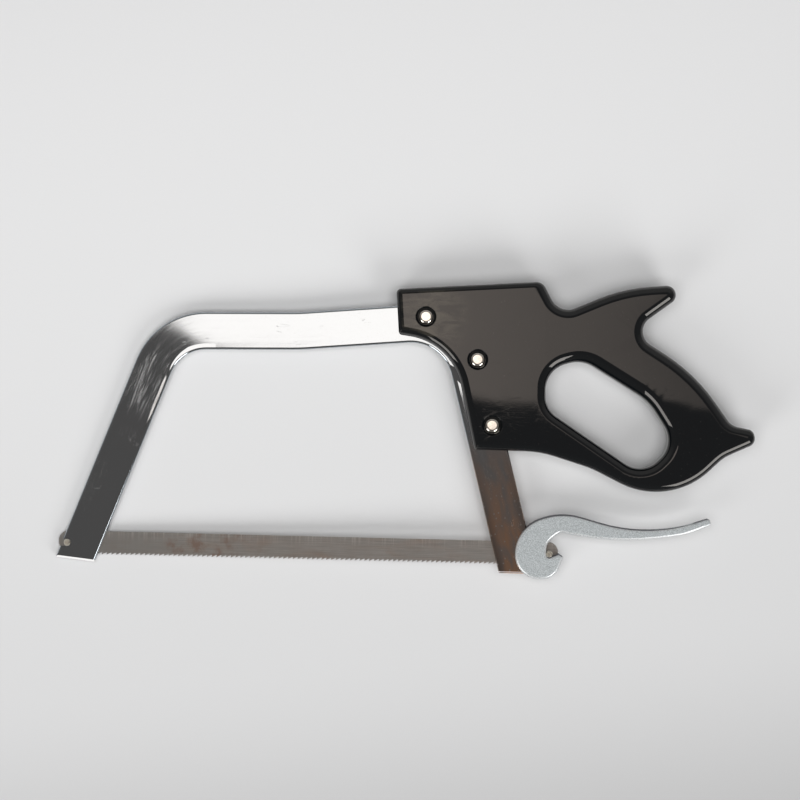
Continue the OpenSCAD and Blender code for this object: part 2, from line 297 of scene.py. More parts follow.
def mixColour(tree, amount, first, second, blend="MIX"):
    made = addNode(tree, "ShaderNodeMix", data_type="RGBA", blend_type=blend)
    for index, value in ((0, amount), (6, first), (7, second)):
        plug(tree, value, made.inputs[index])
    return made.outputs[2]


def layered(tree, look, base, layers):
    # each layer is (mask, name of its colour)
    colour = look[base]
    for mask, name in layers:
        colour = mixColour(tree, mask, colour, look[name])
    return colour


def span(tree, value, ends):
    # rises from 0 to 1 between the first two ends and falls back between the last two
    first, full, fading, last = ends
    return times(tree, remap(tree, value, first, full), remap(tree, value, last, fading))


def noise(tree, vector, scale, detail=3.0, roughness=0.5, **more):
    inputs = {"Vector": vector, "Scale": scale, "Detail": detail, "Roughness": roughness}
    inputs.update(more)
    return addNode(tree, "ShaderNodeTexNoise", inputs).outputs["Fac"]


def stretch(tree, vector, scale, turn=(0, 0, 0)):
    made = addNode(tree, "ShaderNodeMapping", {"Vector": vector, "Scale": scale, "Rotation": turn})
    return made.outputs["Vector"]


def objectPlace(tree):
    return addNode(tree, "ShaderNodeTexCoord").outputs["Object"]


def newGroup(name, takes, gives):
    # an input without a value is a vector
    tree = bpy.data.node_groups.new(name, "ShaderNodeTree")
    for label, value in takes.items():
        kind = "NodeSocketVector" if value is None else "NodeSocketFloat"
        socket = tree.interface.new_socket(name=label, in_out="INPUT", socket_type=kind)
        if value is not None:
            socket.default_value = value
    for label in gives:
        tree.interface.new_socket(name=label, in_out="OUTPUT", socket_type="NodeSocketFloat")
    inside = tree.nodes.new("NodeGroupInput").outputs
    out = tree.nodes.new("NodeGroupOutput").inputs
    return tree, inside, out


def useGroup(tree, group, **inputs):
    made = tree.nodes.new("ShaderNodeGroup")
    made.node_tree = group
    for key, value in inputs.items():
        plug(tree, value, made.inputs[key])
    return made.outputs


def makeBrushing():
    # fine lines that run along x of the vector it is given, in metres
    bandShare = (0.35, 0.12, 0.12)
    tree, takes, out = newGroup("brushing", {"Vector": None, "Density": 2500.0, "Run": 20.0},
                                ["Lines", "Bands"])
    scale = addNode(tree, "ShaderNodeCombineXYZ", {"X": takes["Run"], "Y": takes["Density"],
                                                   "Z": takes["Density"]}).outputs[0]
    fine = vectorCalc(tree, "MULTIPLY", takes["Vector"], scale)[0]
    broad = vectorCalc(tree, "MULTIPLY", fine, bandShare)[0]
    plug(tree, noise(tree, fine, 1.0, 4.0, 0.7), out["Lines"])
    plug(tree, noise(tree, broad, 1.0, 2.0), out["Bands"])
    return tree


def makeScratches():
    # a few thin scratches in three directions, where a patchy mask lets them show
    turns = (0.5, -0.9, 1.9)
    longCell = (1.0, 9.0, 1.0)
    tree, takes, out = newGroup(
        "scratches", {"Vector": None, "Length": 60.0, "Width": 0.06, "Amount": 0.5}, ["Mask"])
    found = None
    for turn in turns:
        lying = stretch(tree, takes["Vector"], longCell, (0, 0, turn))
        cells = addNode(tree, "ShaderNodeTexVoronoi", {"Vector": lying, "Scale": takes["Length"]},
                        feature="DISTANCE_TO_EDGE").outputs["Distance"]
        thin = calc(tree, "LESS_THAN", cells, takes["Width"])
        patch = noise(tree, takes["Vector"], 45.0 + 10 * turn, 1.0)
        shown = calc(tree, "GREATER_THAN", patch, calc(tree, "SUBTRACT", 1.0, takes["Amount"]))
        one = times(tree, thin, shown)
        found = one if found is None else calc(tree, "MAXIMUM", found, one)
    plug(tree, found, out["Mask"])
    return tree


def makeSmudges():
    # soft cloudy marks, as from wiping and handling
    softEdge = 0.22
    tree, takes, out = newGroup("smudges", {"Vector": None, "Scale": 30.0, "Cover": 0.5}, ["Mask"])
    cloud = noise(tree, takes["Vector"], takes["Scale"], 4.0, 0.6, Distortion=0.6)
    edge = calc(tree, "SUBTRACT", 1.0, takes["Cover"])
    plug(tree, remap(tree, cloud, edge, calc(tree, "ADD", edge, softEdge)), out["Mask"])
    return tree


brushing, scratches, smudges = makeBrushing(), makeScratches(), makeSmudges()
noiseReach = (0.3, 0.7)     # nearly all of a noise texture lies between these


def newMaterial(name, **settings):
    made = bpy.data.materials.new(name)
    made.use_nodes = True
    tree = made.node_tree
    shader = tree.nodes["Principled BSDF"]
    for key, value in settings.items():
        shader.inputs[key.replace("_", " ")].default_value = value
    return made, tree, shader.inputs


def bumpOf(tree, height, distance, strength=1.0, normal=None):
    inputs = {"Height": height, "Distance": distance, "Strength": strength}
    if normal is not None:
        inputs["Normal"] = normal
    return addNode(tree, "ShaderNodeBump", inputs).outputs["Normal"]


# The bent bar

bar = {
    "width": 25.0,
    "edgeRound": 1.5,
    "bendInside": (25.0, 28.0),
    "frontLean": 20.8,
    "rearLean": 14.8,
    "armHigh": 144.0,
    "armSetX": 169.0,
    "armSlopeFront": 1.2,
    "armSlopeRear": 5.2,
    "armSetRadius": 150.0,
    "frontDrop": 11.2,
    "frontCut": 6.0,
    "rearDrop": 13.6,
    "pinInset": 3.7,
    "pinReach": 10.5,
    "slotWide": 1.2,
    "slotLong": 30.0,
    "endCorner": 0.8,
    "notchPlay": 0.16,
}
bar["thick"] = size("bow_frame").z
pinDiameter = size("front_blade_pin").y

frontUp = heading(90 - bar["frontLean"])
rearUp = heading(90 + bar["rearLean"])
frontMid = frontPinX - 1j * frontUp * (bar["width"] / 2 - bar["pinInset"])
rearMid = 1j * rearUp * (bar["width"] / 2 + bar["pinReach"])
armSet = complex(-bar["armSetX"], bar["armHigh"])
frontBend = crossing(frontMid, frontUp, armSet, heading(bar["armSlopeFront"]))
rearBend = crossing(rearMid, rearUp, armSet, heading(bar["armSlopeRear"]))
frontEnd = crossing(frontMid, frontUp, complex(0, -bar["frontDrop"]), 1)
rearEnd = crossing(rearMid, rearUp, complex(0, -bar["rearDrop"]), 1)
barPath = [frontEnd, frontBend, armSet, rearBend, rearEnd]
frontInside, rearInside = bar["bendInside"]
barBends = [frontInside + bar["width"] / 2, bar["armSetRadius"], rearInside + bar["width"] / 2]


def barSide(offset):
    # the side line that lies offset to the left of the bar's middle line
    line = []
    for i in (1, 2, 3):
        before = 1j * unit(barPath[i] - barPath[i - 1])
        after = 1j * unit(barPath[i + 1] - barPath[i])
        q = barPath[i] + (before + after) * offset / (1 + dotOf(before, after))
        r = barBends[i - 1] + offset * (-1 if i == 2 else 1)
        line.append((q.real, q.imag, r))
    ends = []
    for end, up, slope in ((frontEnd, frontUp, -bar["frontCut"]), (rearEnd, -rearUp, 0)):
        q = crossing(end + 1j * up * offset, up, end, heading(slope))
        ends.append((q.real, q.imag, bar["endCorner"]))
    return [ends[0]] + line + [ends[1]]


def barOutline(width):
    return barSide(-width / 2) + barSide(width / 2)[::-1]


def bothFaces(half, edge):
    # a section that is rounded alike on its lower and upper edges
    lower = [(inset, -half + below) for inset, below in reversed(edge)]
    upper = [(inset, half - below) for inset, below in edge]
    return lower + upper


def slotTool(end, up):
    across = 1j * up * bar["width"]
    away = end - up * bar["width"]
    top = end + up * bar["slotLong"]
    half = bar["slotWide"] / 2
    return prism("slot", [away - across, away + across, top + across, top - across], -half, half)


def makeBar():
    section = bothFaces(bar["thick"] / 2, roundedEdge(bar["edgeRound"]))
    bow = loftPlate("bowBar", [(barOutline(bar["width"]), 1)], lambda share: section)
    notchRadius = pinDiameter / 2 + bar["notchPlay"]
    seat = [frontPinX + notchRadius * heading(a) for a in range(-90, 91, 10)]
    mouth = [complex(frontPinX - bar["width"], high) for high in (notchRadius, -notchRadius)]
    notch = prism("notch", seat + mouth, -bar["thick"], bar["thick"])
    cutAway(bow, [slotTool(frontEnd, frontUp), slotTool(rearEnd, rearUp), notch])
    return smoothOver(bow)


def layFlow(piece):
    # x runs along the bent bar and y across it, in metres, for the grain of the metal
    corners = [(p.real, p.imag, r) for p, r in zip(barPath, [0] + barBends + [0])]
    line = roundOff(corners, 2)[:-1]
    lengths = [0.0]
    for a, b in zip(line, line[1:]):
        lengths.append(lengths[-1] + abs(b - a))
    flow = piece.data.attributes.new("flow", "FLOAT_VECTOR", "POINT")
    for vertex in piece.data.vertices:
        here = complex(vertex.co.x - rearPin.x, vertex.co.y - rearPin.y) / mm
        best = None
        for k, (a, b) in enumerate(zip(line, line[1:])):
            run = b - a
            if abs(run) < tiny:
                continue
            share = min(1.0, max(0.0, dotOf(here - a, run) / abs(run) ** 2))
            far = abs(here - a - run * share)
            if best is None or far < best[0]:
                offset = ((here - a) / run).imag * abs(run)
                best = (far, lengths[k] + share * abs(run), offset)
        flow.data[vertex.index].vector = (best[1] * mm, best[2] * mm, vertex.co.z)


def makePolishedSteel():
    # places are metres along the bent bar from its front end, and from its middle line inwards
    look = {
        "colour": (0.45, 0.485, 0.51, 1),
        "lineDensity": 2600.0,
        "lineRun": 25.0,
        "lineDepth": 0.0000012,
        "roughness": (0.02, 0.04),
        "scratchRoughness": 0.1,
        # marks of wear on the upper part of the front leg
        "wornColour": (0.465, 0.495, 0.525, 1),
        "wornAlong": (0.100, 0.113, 0.142, 0.153),
        "wornElsewhere": 0.1,
        "smudgeRoughness": 0.26,
        "smudgeStretch": (0.25, 1.0, 1.0),
        "smudgeScale": 150.0,
        "hairStretch": (0.05, 1.0, 1.0),
        "hairScale": 1300.0,
        "hairs": (0.42, 0.62, 0.12, 0.9),
        # bending has tipped the inner edge of the front bend a little; the streak there is darkened
        # by painted shade
        "bentAlong": (0.139, 0.146, 0.180, 0.190),
        "bentFrom": (0.141, 0.168, 0.0104, 0.0084),
        "bentSoft": 0.0006,
        "streakAlong": (0.096, 0.110, 0.130, 0.138),
        "streakMiddle": 0.0102,
        "streakWide": 0.0011,
        "streakShadeColour": (0.24, 0.23, 0.22, 1),
        "streakShade": 0.6,
        "bentTip": (0.018, 0.031, 0.0),
        # the same on the rear bend, beside the grip
        "dullAlong": (0.3655, 0.3668, 0.3750, 0.3770),
        "dullMiddle": 0.010,
        "dullSlant": 1.8,
        "dullEdgeAlong": (0.374, 0.376, 0.392, 0.400),
        "dullEdgeFrom": (0.0095, 0.0101),
        "dullTip": (0.0, -0.04, 0.0),
        # filed edges at the ends of the legs: height above the end, and which half of the bar
        "frontWorked": (-0.0002, 0.0, 0.0012, 0.0014),
        "frontHalf": (0.06, 0.05),
        "rearWorked": (0.0005, 0.0008, 0.0011, 0.0014),
        "rearHalf": (0.44, 0.45),
        "endTip": (0.8, 1.9, 20.0),
        # a painted brown reflection in mottled patches and painted shade towards the edges on the
        # rear leg, pale specks there, pits everywhere
        "brownReflectionAlong": (0.415, 0.50),
        "brownReflectionColour": (0.83, 0.535, 0.375, 1),
        "patchStretch": (0.35, 1.0, 1.0),
        "patchScale": 130.0,
        "patches": (0.38, 0.58, 0.45, 1.3),
        "edgeShadeAlong": (0.42, 0.50),
        "edgeShadeAside": (0.0065, 0.0115),
        "edgeShadeColour": (0.34, 0.28, 0.25, 1),
        "speckAlong": (0.43, 0.47),
        "speckScale": 200.0,
        "speckChosen": (0.45, 0.55),
        "speckSize": (0.13, 0.07, 0.0, 0.6),
        "speckColour": (0.9, 0.88, 0.86, 1),
        "pitScale": 900.0,
        "pitSize": 0.12,
        "pitDark": 0.35,
        "pitColour": (0.25, 0.2, 0.16, 1),
    }
    made, tree, shader = newMaterial("polishedSteel", Metallic=1.0)
    flow = markOf(tree, "flow", "Vector")
    split = axesOf(tree, flow)
    along, inward = split["X"], times(tree, split["Y"], -1.0)
    grain = useGroup(tree, brushing, Vector=flow, Density=look["lineDensity"], Run=look["lineRun"])
    scored = useGroup(tree, scratches, Vector=flow, Length=45.0, Width=0.02, Amount=0.3)["Mask"]

    marks = useGroup(tree, smudges, Vector=stretch(tree, flow, look["smudgeStretch"]),
                     Scale=look["smudgeScale"], Cover=0.6)["Mask"]
    marks = times(tree, marks, remap(tree, span(tree, along, look["wornAlong"]), 0.0, 1.0,
                                     look["wornElsewhere"], 1.0))
    hairs = noise(tree, stretch(tree, flow, look["hairStretch"]), look["hairScale"], 2.0)
    marks = times(tree, marks, remap(tree, hairs, *look["hairs"]))

    start = remap(tree, along, *look["bentFrom"])
    bent = times(tree, span(tree, along, look["bentAlong"]),
                 remap(tree, calc(tree, "SUBTRACT", inward, start), 0.0, look["bentSoft"]))
    aside = calc(tree, "ABSOLUTE", calc(tree, "SUBTRACT", inward, look["streakMiddle"]))
    streak = times(tree, span(tree, along, look["streakAlong"]),
                   remap(tree, aside, look["streakWide"], 0.0))
    slant = times(tree, calc(tree, "SUBTRACT", inward, look["dullMiddle"]), look["dullSlant"])
    dull = calc(tree, "MAXIMUM",
                span(tree, calc(tree, "ADD", along, slant), look["dullAlong"]),
                times(tree, span(tree, along, look["dullEdgeAlong"]),
                      remap(tree, inward, *look["dullEdgeFrom"])))
    worked = []
    for end, slope, name in ((frontEnd, -bar["frontCut"], "front"), (rearEnd, 0.0, "rear")):
        up = 1j * heading(slope)
        upright = Vector((up.real, up.imag, 0))
        above = vectorCalc(tree, "DOT_PRODUCT", objectPlace(tree), upright)["Value"]
        above = calc(tree, "SUBTRACT", above, upright.dot(put(end, 0)))
        worked.append(times(tree, span(tree, above, look[name + "Worked"]),
                            remap(tree, along, *look[name + "Half"])))

    pits = addNode(tree, "ShaderNodeTexVoronoi", {"Vector": flow, "Scale": look["pitScale"]})
    pits = calc(tree, "LESS_THAN", pits.outputs["Distance"], look["pitSize"])
    patches = noise(tree, stretch(tree, flow, look["patchStretch"]), look["patchScale"], 2.0)
    brownReflection = times(tree, remap(tree, along, *look["brownReflectionAlong"]),
                  remap(tree, patches, *look["patches"]))
    # painted shade: the rear leg's colour darkens towards its edges
    side = remap(tree, calc(tree, "ABSOLUTE", inward), *look["edgeShadeAside"])
    edgeShade = times(tree, remap(tree, along, *look["edgeShadeAlong"]), side)
    specks = addNode(tree, "ShaderNodeTexVoronoi", {"Vector": flow, "Scale": look["speckScale"]},
                     voronoi_dimensions="2D").outputs
    chosen = remap(tree, axesOf(tree, specks["Color"])["X"], *look["speckChosen"])
    pale = times(tree, chosen, remap(tree, specks["Distance"], *look["speckSize"]))
    pale = times(tree, pale, remap(tree, along, *look["speckAlong"]))
    # the streak's dark colour and the edge shade are painted shade, and the brown on the rear leg
    # is a painted reflection
    colour = layered(tree, look, "colour", [
        (marks, "wornColour"), (times(tree, pits, look["pitDark"]), "pitColour"),
        (times(tree, streak, look["streakShade"]), "streakShadeColour"), (brownReflection, "brownReflectionColour"),
        (edgeShade, "edgeShadeColour"), (pale, "speckColour"), (worked[1], "wornColour")])
    plug(tree, colour, shader["Base Color"])

    low, high = look["roughness"]
    rough = remap(tree, grain["Bands"], *noiseReach, low, high)
    rough = calc(tree, "ADD", rough, times(tree, marks, look["smudgeRoughness"] - high))
    rough = calc(tree, "ADD", rough, times(tree, scored, look["scratchRoughness"]))
    plug(tree, rough, shader["Roughness"])

    height = calc(tree, "SUBTRACT", grain["Lines"], scored)
    tipped = bumpOf(tree, height, look["lineDepth"], 0.5)
    for tip, mask in ((look["bentTip"], calc(tree, "MAXIMUM", bent, streak)),
                      (look["dullTip"], dull), (look["endTip"], worked[0]),
                      (look["endTip"], worked[1])):
        tipped = vectorCalc(tree, "MULTIPLY_ADD", tip, mask, tipped)[0]
    plug(tree, vectorCalc(tree, "NORMALIZE", tipped)[0], shader["Normal"])
    return made


bowBar = makeBar()
layFlow(bowBar)
dress(bowBar, "frame", makePolishedSteel(), "polished_bar", "bow_frame")
print("bar bent and polished")


# The moulded grip

grip = {
    # x and y from the rear bend of the bar's middle line, corner radius, share of the rounding
    "corners": [
        (-41.3, 19.7, 3, 0.64), (-39, -10.1, 2.5, 0.84), (-3.3, -14.9, 41, 0.84),
        (12.9, -85.3, 2, 0.84), (56.4, -85.8, 70, 0.87), (90.4, -95.9, 60, 0.9),
        (142.4, -121.2, 52, 0.9), (178.1, -86.6, 25, 0.84), (199, -76.8, 5.6, 0.8),
        (197.1, -68.1, 5.2, 0.84), (182.8, -65.5, 11, 1.1), (157.6, -31.3, 120, 1.14),
        (114.6, -5, 10.3, 1), (158.4, 28, 6.2, 1), (109.2, 23.9, 110, 1),
        (67, 5.4, 12, 1.04), (55.4, 26.8, 7, 0.64),
    ],
    "fingers": [(59.1, -57.3, 16, 0.95), (124.4, -100, 17, 1.0), (145.8, -78.3, 17, 1.15),
                (127.6, -50.8, 38, 1.25), (83, -24.2, 20, 1.15), (59.1, -31, 18, 0.97)],
    "edgeRound": 6.2,
    "seam": 0.18,
    "barPlay": 0.2,
    "rimRound": 0.35,
    "edgeSteps": 14,
}
grip["half"] = size("handle_shell_top").z
for key in ("corners", "fingers"):
    grip[key] = [(x + rearBend.real, y + rearBend.imag, *rest) for x, y, *rest in grip[key]]

rivet = {
    "places": [middle(f"{name}_rivet_barrel") for name in ("front", "middle", "lower")],
    "headWide": size("front_rivet_barrel").x,
    "headHigh": 2.2,
    "recessWide": 13.3,
    "recessDeep": 2.4,
    "recessSlopes": (22, 58),
    "barrelWide": 6.0,
    "pinWide": 3.6,
    "headPlay": 0.2,
    "headEdge": 0.25,
    "seamGap": 0.4,
    "crownWide": 6.2,
    "crownDrop": 0.012,
    "leans": (0.3, 0.35, 0.75),     # how far each head tips back, in degrees
}


def onDrawing(place):
    return complex(place.x - rearPin.x, place.y - rearPin.y) / mm


def recessTool(centre, side, parts=8):
    # a dished floor that turns up into the wall, then a small rounded rim
    rim = grip["rimRound"]
    top = grip["half"]
    radius = rivet["recessWide"] / 2
    floor = top - rivet["recessDeep"]
    start, end = (math.radians(a) for a in rivet["recessSlopes"])
    inner = rivet["headWide"] / 2 + rivet["headPlay"]
    bend = (radius - inner) / (math.sin(end) - math.sin(start))
    line = [(0, floor)]
    for k in range(parts + 1):
        a = start + (end - start) * k / parts
        line.append((inner + bend * (math.sin(a) - math.sin(start)),
                     floor + bend * (math.cos(start) - math.cos(a))))
    line += [(radius + inset, top - below) for inset, below in roundedEdge(rim, 4)]
    line += [(radius + rim, top + 1), (0, top + 1)]
    return turned("recess", centre, [(r, side * z) for r, z in line])


def makeShell(name, side):
    half = grip["half"]
    seam = grip["seam"]

    def section(share):
        line = [(seam, 0), (0, seam)]
        edge = roundedEdge(share * grip["edgeRound"], grip["edgeSteps"])
        line += [(inset, half - below) for inset, below in edge]
        return [(inset, side * z) for inset, z in line]

    shell = loftPlate(name, [(grip["corners"], 1), (grip["fingers"], -1)], section)
    pocket = roundOff(barOutline(bar["width"] + 2 * grip["barPlay"]))
    deep = bar["thick"] / 2
    tools = [prism("pocket", pocket, -deep, deep)]
    tools += [recessTool(onDrawing(place), side) for place in rivet["places"]]
    return smoothOver(cutAway(shell, tools))


def makeGlossPlastic():
    look = {
        "colour": (0.0036, 0.0046, 0.0056, 1),
        "gloss": (1.0, 0.95, 0.90, 1),
        "dustColour": (0.05, 0.048, 0.045, 1),
        "dustScale": 900.0,
        "dustAbove": 0.74,
        "dustPale": 0.5,
        # a greasy smear round the front rivet, on the upper face only
        "smearColour": (0.060, 0.054, 0.042, 1),
        "smearReach": (0.008, 0.034, 0.8, 0.0),
        "smearHigh": (0.0254, 0.0259),
        "smearStretch": (1.0, 2.5, 1.0),
        "smearTurn": (0, 0, 0.6),
        "roughness": (0.02, 0.035),
        "scratchRoughness": 0.04,
        "rippleScale": 30.0,
        "rippleDepth": 0.00003,
        "peelScale": 1400.0,
        "peelDepth": 0.0000018,
    }
    made, tree, shader = newMaterial("glossPlastic", IOR=1.53, Specular_Tint=look["gloss"])
    place = objectPlace(tree)
    wiped = useGroup(tree, smudges, Vector=place, Scale=26.0, Cover=0.45)["Mask"]
    scored = useGroup(tree, scratches, Vector=place, Length=38.0, Width=0.02, Amount=0.4)["Mask"]
    dust = noise(tree, place, look["dustScale"], 2.0)
    dust = calc(tree, "GREATER_THAN", dust, look["dustAbove"])
    apart = vectorCalc(tree, "DISTANCE", place, rivet["places"][0])["Value"]
    wiping = stretch(tree, place, look["smearStretch"], look["smearTurn"])
    smear = useGroup(tree, smudges, Vector=wiping, Scale=70.0, Cover=0.6)["Mask"]
    smear = times(tree, smear, remap(tree, apart, *look["smearReach"]))
    smear = times(tree, smear, remap(tree, axesOf(tree, place)["Z"], *look["smearHigh"]))
    colour = layered(tree, look, "colour", [
        (times(tree, dust, look["dustPale"]), "dustColour"), (smear, "smearColour")])
    plug(tree, colour, shader["Base Color"])
    rough = remap(tree, wiped, 0.0, 1.0, *look["roughness"])
    rough = calc(tree, "ADD", rough, times(tree, scored, look["scratchRoughness"]))
    plug(tree, rough, shader["Roughness"])
    ripple = bumpOf(tree, noise(tree, place, look["rippleScale"], 1.0), look["rippleDepth"], 0.4)
    peel = bumpOf(tree, noise(tree, place, look["peelScale"], 2.0), look["peelDepth"], 0.5, ripple)
    plug(tree, peel, shader["Normal"])
    return made


glossPlastic = makeGlossPlastic()
for name, side, node in (("gripShellTop", 1, "handle_shell_top"),
                         ("gripShellBottom", -1, "handle_shell_bottom")):
    dress(makeShell(name, side), "frame", glossPlastic, "grip_plastic", node)
print("grip moulded in two shells")


# The rivets: a domed head with a hollow barrel above, the same head with a pin below


def domeLine(floor, shoulderParts=12, crownParts=8):
    # an almost flat crown with a rounded shoulder, above a short upright edge
    wide, high, edge = rivet["headWide"] / 2, rivet["headHigh"], rivet["headEdge"]
    flat, drop = rivet["crownWide"] / 2, rivet["crownDrop"]
    line = [(wide - edge, floor), (wide, floor + edge)]
    for k in range(1, shoulderParts + 1):
        a = math.pi / 2 * k / shoulderParts
        line.append((flat + (wide - flat) * math.cos(a),
                     floor + edge + (high - drop - edge) * math.sin(a)))
    for k in range(1, crownParts + 1):
        r = 1 - k / crownParts
        line.append((flat * r, floor + high - drop * r * r))
    return line


def makeRivet(name, centre, side, shank, lean):
    floor, gap = grip["half"] - rivet["recessDeep"], rivet["seamGap"]
    line = [(0, gap if shank == rivet["pinWide"] else 0.0), (shank / 2, gap), (shank / 2, floor)]
    line += domeLine(floor)[:-1] + [(0, floor + rivet["headHigh"])]
    made = smoothOver(turned(name, centre, [(r, side * z) for r, z in line], 72), 40)
    pivot = Matrix.Translation(put(centre, side * floor))
    made.data.transform(pivot @ Matrix.Rotation(-math.radians(lean), 4, "X") @ pivot.inverted())
    return made


def makeRivetMetal():
    look = {
        "colour": (0.70, 0.66, 0.60, 1),
        "dullColour": (0.60, 0.55, 0.48, 1),
        "roughness": (0.07, 0.16),
        "swellScale": 500.0,
        "swellDepth": 0.00001,
    }
    made, tree, shader = newMaterial("rivetNickel", Metallic=1.0)
    place = objectPlace(tree)
    scored = useGroup(tree, scratches, Vector=place, Length=420.0, Width=0.03, Amount=0.5)["Mask"]
    dull = useGroup(tree, smudges, Vector=place, Scale=300.0, Cover=0.4)["Mask"]
    plug(tree, mixColour(tree, dull, look["colour"], look["dullColour"]), shader["Base Color"])
    rough = remap(tree, calc(tree, "MAXIMUM", dull, scored), 0, 1, *look["roughness"])
    plug(tree, rough, shader["Roughness"])
    swell = noise(tree, place, look["swellScale"], 2.0)
    plug(tree, bumpOf(tree, swell, look["swellDepth"], 0.3), shader["Normal"])
    return made


rivetMetal = makeRivetMetal()
for name, place, lean in zip(("front", "middle", "lower"), rivet["places"], rivet["leans"]):
    centre = onDrawing(place)
    for part, side, shank in (("barrel", 1, rivet["barrelWide"]), ("pin", -1, rivet["pinWide"])):
        made = makeRivet(f"{name}Rivet{part.capitalize()}", centre, side, shank, lean)
        dress(made, "frame", rivetMetal, "rivet_metal", f"{name}_rivet_{part}")
print("rivets set")


# The blade and its cross pins

blade = {
    "high": size("saw_blade").y,
    "thick": size("saw_blade").z,
    "tail": 5.9,
    "cornerRound": 6.4,
    "toothPitch": 3.175,
    "toothDeep": 1.6,
    "toothRake": 0.35,
    "toothFlat": 0.1,
    "toothSet": 0.16,
    "pinChamfer": 0.45,
    "leastStraight": 0.05,
    "holeReach": 2,
}


def bladeLines():
    # the body, then the teeth along the lower edge as (point, lean to one side)
    back, root = blade["high"] / 2, blade["toothDeep"] - blade["high"] / 2
    front, rear = frontPinX - blade["tail"], blade["tail"]
    r = min(blade["cornerRound"], (back - root) / 2 - blade["leastStraight"])
    body = roundOff([(front, root, r), (rear, root, r), (rear, back, r), (front, back, r)])
    low = min(p.imag for p in body)
    lower = [p for p in body if abs(p.imag - low) < tiny]
    startX, endX = min(p.real for p in lower), max(p.real for p in lower)
    teeth = []
    x, side = startX + blade["toothPitch"], 1
    while x + blade["toothPitch"] < endX:
        flatEnd = x + blade["toothPitch"] * blade["toothFlat"]
        teeth += [(complex(x, root), 0), (complex(flatEnd, root), 0)]
        teeth.append((complex(flatEnd - blade["toothRake"], root - blade["toothDeep"]), side))
        x, side = x + blade["toothPitch"], -side
    start = body.index(min(lower, key=lambda p: p.real))
    ordered = body[start:] + body[:start]
    return [(ordered[0], 0)] + teeth + [(p, 0) for p in ordered[1:]]


def makeBlade():
    line = bladeLines()
    half = blade["thick"] / 2
    bm = bmesh.new()
    layers = []
    for z in (-half, half):
        layers.append([bm.verts.new(put(p, z + lean * blade["toothSet"])) for p, lean in line])
    joinRings(bm, *layers)
    for layer in layers:
        fillFace(bm, ringEdges(bm, layer))
    made = meshObject("sawBlade", bm)
    holes = []
    for x in (frontPinX, 0):
        ring = [x + pinDiameter / 2 * heading(a) for a in range(0, 360, 10)]
        holes.append(prism("hole", ring, -blade["holeReach"], blade["holeReach"]))
    return smoothOver(cutAway(made, holes), 25)


def makeBladeSteel():
    look = {
        "colour": (0.53, 0.51, 0.485, 1),
        "warmColour": (0.52, 0.43, 0.37, 1),
        "warmStretch": (0.35, 1.0, 1.0),
        "darkColour": (0.27, 0.26, 0.245, 1),
        "darkLines": (0.35, 0.75, 0.0, 0.8),
        "lineDepth": 0.00001,
        "roughness": (0.30, 0.42),
        "greyColour": (0.40, 0.40, 0.385, 1),
        "greyAlong": (-0.170, -0.145, 0.8, 0.0),
        "rustColour": (0.36, 0.26, 0.21, 1),
        "rustAlong": (-0.165, -0.152, -0.125, -0.09),
        "rustScale": 120.0,
        "rustPatch": (0.45, 0.65),
        "rustAmount": (0.12, 0.8),
        # short pale lines across the blade, mostly near its back
        "tickColour": (0.80, 0.78, 0.74, 1),
        "tickScale": (700.0, 18.0, 1.0),
        "ticks": (0.52, 0.72),
        "tickHigh": (0.0015, 0.0075, 0.03, 0.5),
    }
    made, tree, shader = newMaterial("groundSteel", Metallic=1.0)
    place = objectPlace(tree)
    split = axesOf(tree, place)
    grain = useGroup(tree, brushing, Vector=place, Density=3500.0, Run=45.0)
    cloud = useGroup(tree, smudges, Vector=stretch(tree, place, look["warmStretch"]), Scale=60.0,
                     Cover=0.5)["Mask"]
    patch = remap(tree, noise(tree, place, look["rustScale"], 3.0, 0.6), *look["rustPatch"])
    rust = times(tree, patch, remap(tree, span(tree, split["X"], look["rustAlong"]), 0.0, 1.0,
                                    *look["rustAmount"]))
    ticks = noise(tree, stretch(tree, place, look["tickScale"]), 1.0, 3.0, 0.6)
    high = calc(tree, "SUBTRACT", split["Y"], middle("saw_blade").y)
    ticks = times(tree, remap(tree, ticks, *look["ticks"]), remap(tree, high, *look["tickHigh"]))
    colour = layered(tree, look, "colour", [
        (cloud, "warmColour"), (remap(tree, grain["Lines"], *look["darkLines"]), "darkColour"),
        (remap(tree, split["X"], *look["greyAlong"]), "greyColour"), (rust, "rustColour"),
        (ticks, "tickColour")])
    plug(tree, colour, shader["Base Color"])
    plug(tree, remap(tree, grain["Bands"], *noiseReach, *look["roughness"]), shader["Roughness"])
    plug(tree, bumpOf(tree, grain["Lines"], look["lineDepth"], 0.5), shader["Normal"])
    return made


def makePin(name, node, x):
    half = size(node).z / 2
    radius = pinDiameter / 2
    cut = blade["pinChamfer"]
    line = [(0, -half), (radius - cut, -half), (radius, -half + cut), (radius, half - cut),
            (radius - cut, half), (0, half)]
    return smoothOver(turned(name, x + 0j, line, 48), 30)


def makePinSteel():
    look = {
        "colour": (0.80, 0.76, 0.66, 1),
        "wornColour": (0.30, 0.27, 0.22, 1),
        "roughness": (0.28, 0.45),
        "grainScale": 2500.0,
        "grainDepth": 0.00002,
    }
    made, tree, shader = newMaterial("pinSteel", Metallic=1.0)
    place = objectPlace(tree)
    worn = useGroup(tree, smudges, Vector=place, Scale=400.0, Cover=0.5)["Mask"]
    plug(tree, mixColour(tree, worn, look["colour"], look["wornColour"]), shader["Base Color"])
    plug(tree, remap(tree, worn, 0, 1, *look["roughness"]), shader["Roughness"])
    grain = noise(tree, place, look["grainScale"], 2.0)
    plug(tree, bumpOf(tree, grain, look["grainDepth"], 0.5), shader["Normal"])
    return made


dress(makeBlade(), "blade", makeBladeSteel(), "blade_steel", "saw_blade")
pinSteel = makePinSteel()
for name, node, x in (("frontPin", "front_blade_pin", frontPinX), ("rearPin", "rear_blade_pin", 0)):
    dress(makePin(name, node, x), "blade", pinSteel, "pin_steel", node)
print("blade toothed and pinned")


# The cam lever

